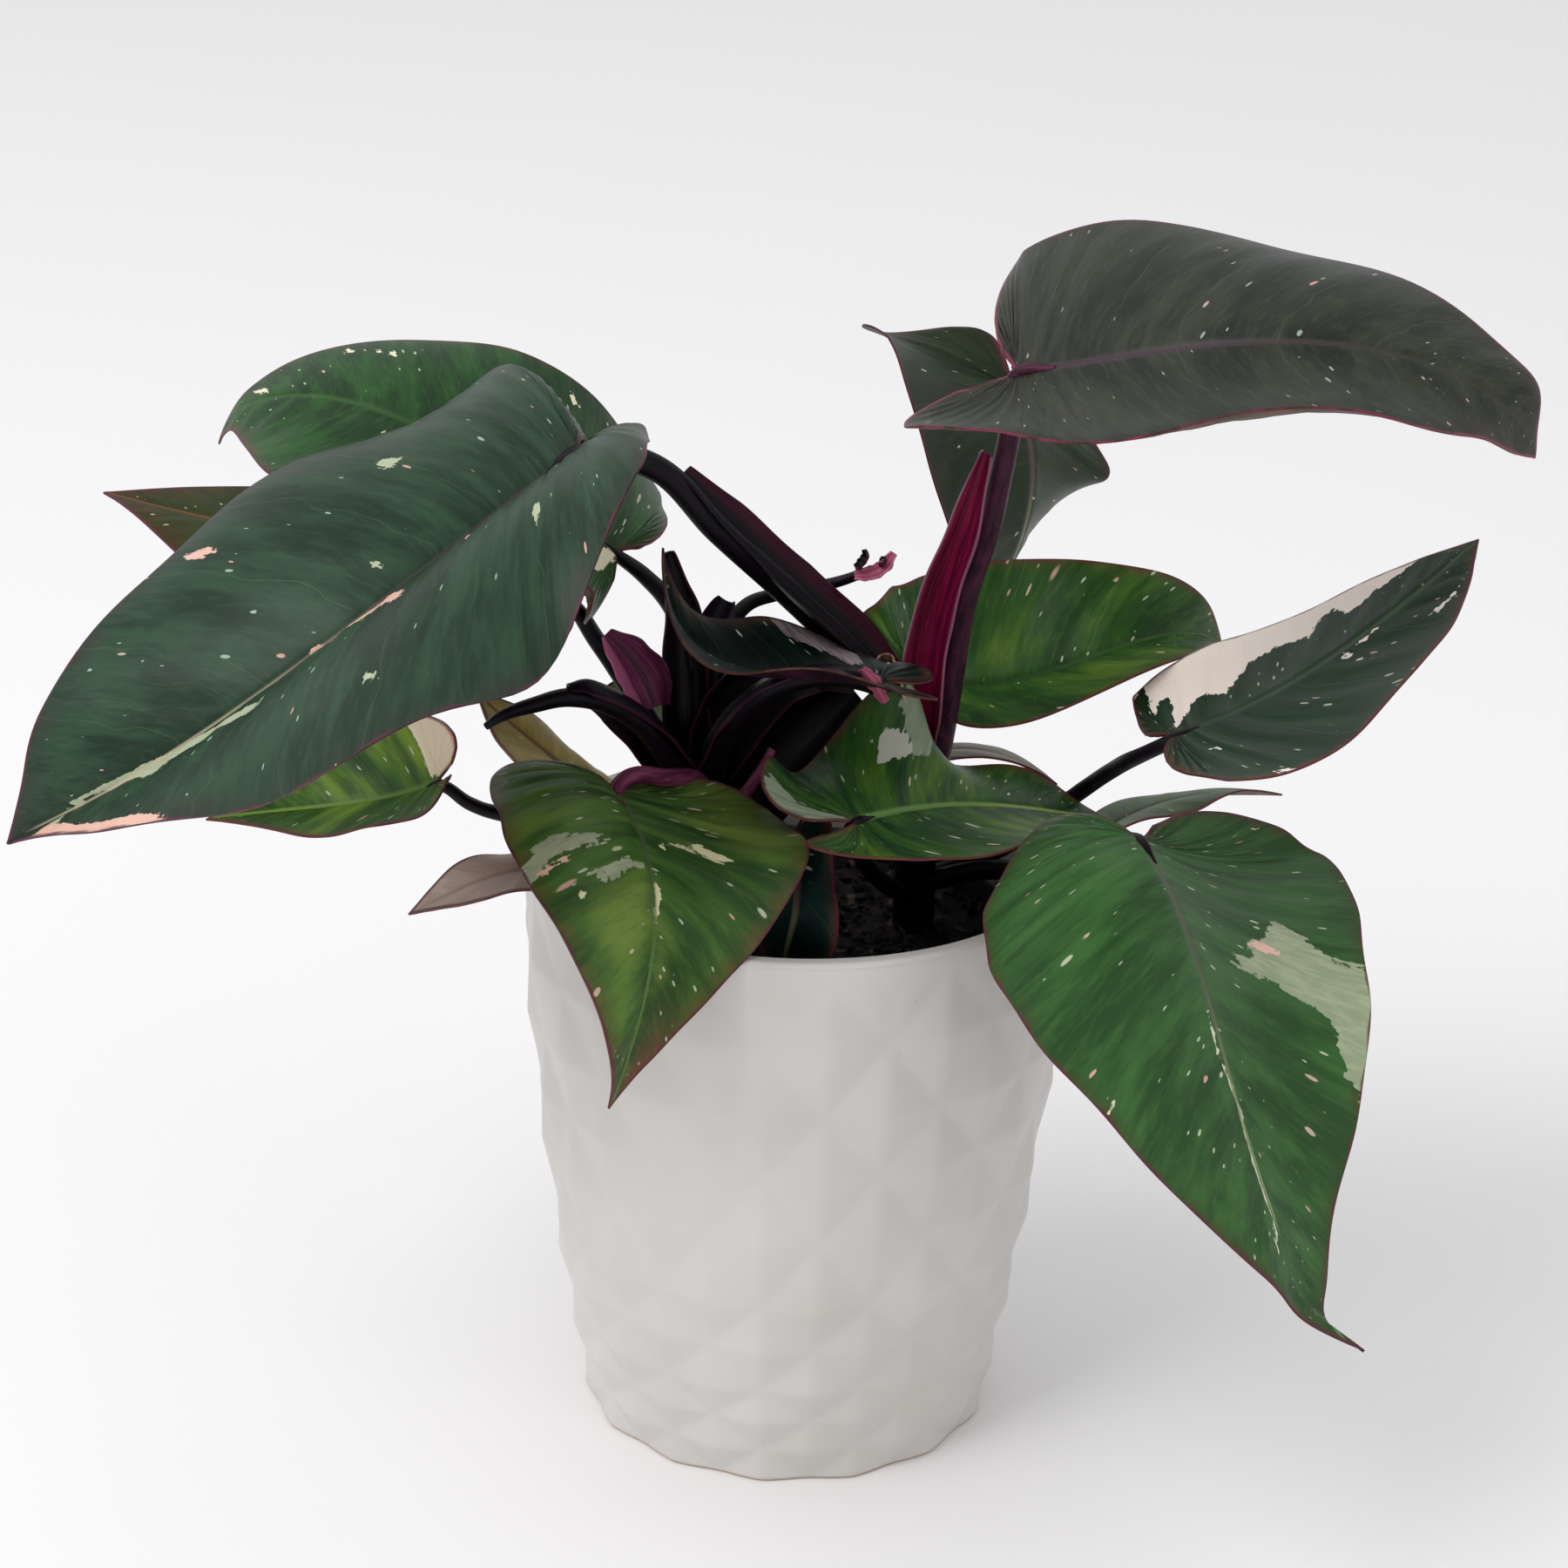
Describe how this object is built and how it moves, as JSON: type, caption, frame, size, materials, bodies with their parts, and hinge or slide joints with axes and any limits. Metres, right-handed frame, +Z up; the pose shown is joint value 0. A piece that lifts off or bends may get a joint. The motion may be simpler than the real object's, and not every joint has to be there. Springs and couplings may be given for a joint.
{
  "type": "potted blushing philodendron",
  "caption": "Variegated blushing philodendron with long heart-shaped leaves on maroon stalks, standing in a white cachepot with a diamond-faceted side.",
  "frame": {"origin": "middle of the cachepot's flat underside", "axes": "+Z up, front of the plant (the pictured side) towards -Y, +X to the viewer's right"},
  "size_m": [0.3851, 0.2766, 0.3295],
  "materials": {
    "cachepot": "satin white glaze",
    "nursery_pot": "matte black",
    "potting_soil": "loose dark potting mix",
    "left_shoot": "dark maroon, smooth and waxy",
    "right_shoot": "dark maroon, smooth and waxy",
    "upper_right_sheath": "crimson, smooth and waxy",
    "far_left_sheath": "crimson, smooth and waxy",
    "small_curled_blade": "crimson, smooth and waxy",
    "left_large_blade": "satin, green with cream variegation",
    "back_left_blade": "satin, green with cream variegation",
    "far_left_blade": "satin, green with cream variegation",
    "lower_left_blade": "satin, green with cream variegation",
    "narrow_olive_blade": "satin, green with cream variegation",
    "front_left_blade": "satin, green with cream variegation",
    "torn_blade": "satin, pinkish grey underside",
    "front_right_blade": "satin, green with cream variegation",
    "upper_right_blade": "satin, green with cream variegation",
    "hanging_back_blade": "satin, green with cream variegation",
    "back_right_blade": "satin, green with cream variegation",
    "half_pink_blade": "satin, dark green with a pale pink half",
    "centre_blade": "satin, green with cream variegation",
    "young_blade": "satin, green with cream variegation",
    "narrow_right_blade": "satin, green with cream variegation",
    "curled_back_blade": "satin, pale grey-green",
    "back_crown_blade": "satin, green with cream variegation",
    "shaded_blade": "satin, green with cream variegation"
  },
  "bodies": {
    "root": {"cachepot": "cachepot", "nursery_pot": "nursery_pot", "potting_soil": "potting_soil", "left_shoot": "left_shoot", "right_shoot": "right_shoot", "upper_right_sheath": "upper_right_sheath", "far_left_sheath": "far_left_sheath", "small_curled_blade": "small_curled_blade", "left_large_blade": "left_large_blade", "back_left_blade": "back_left_blade", "far_left_blade": "far_left_blade", "lower_left_blade": "lower_left_blade", "narrow_olive_blade": "narrow_olive_blade", "front_left_blade": "front_left_blade", "torn_blade": "torn_blade", "front_right_blade": "front_right_blade", "upper_right_blade": "upper_right_blade", "hanging_back_blade": "hanging_back_blade", "back_right_blade": "back_right_blade", "half_pink_blade": "half_pink_blade", "centre_blade": "centre_blade", "young_blade": "young_blade", "narrow_right_blade": "narrow_right_blade", "curled_back_blade": "curled_back_blade", "back_crown_blade": "back_crown_blade", "shaded_blade": "shaded_blade"}
  },
  "joints": []
}
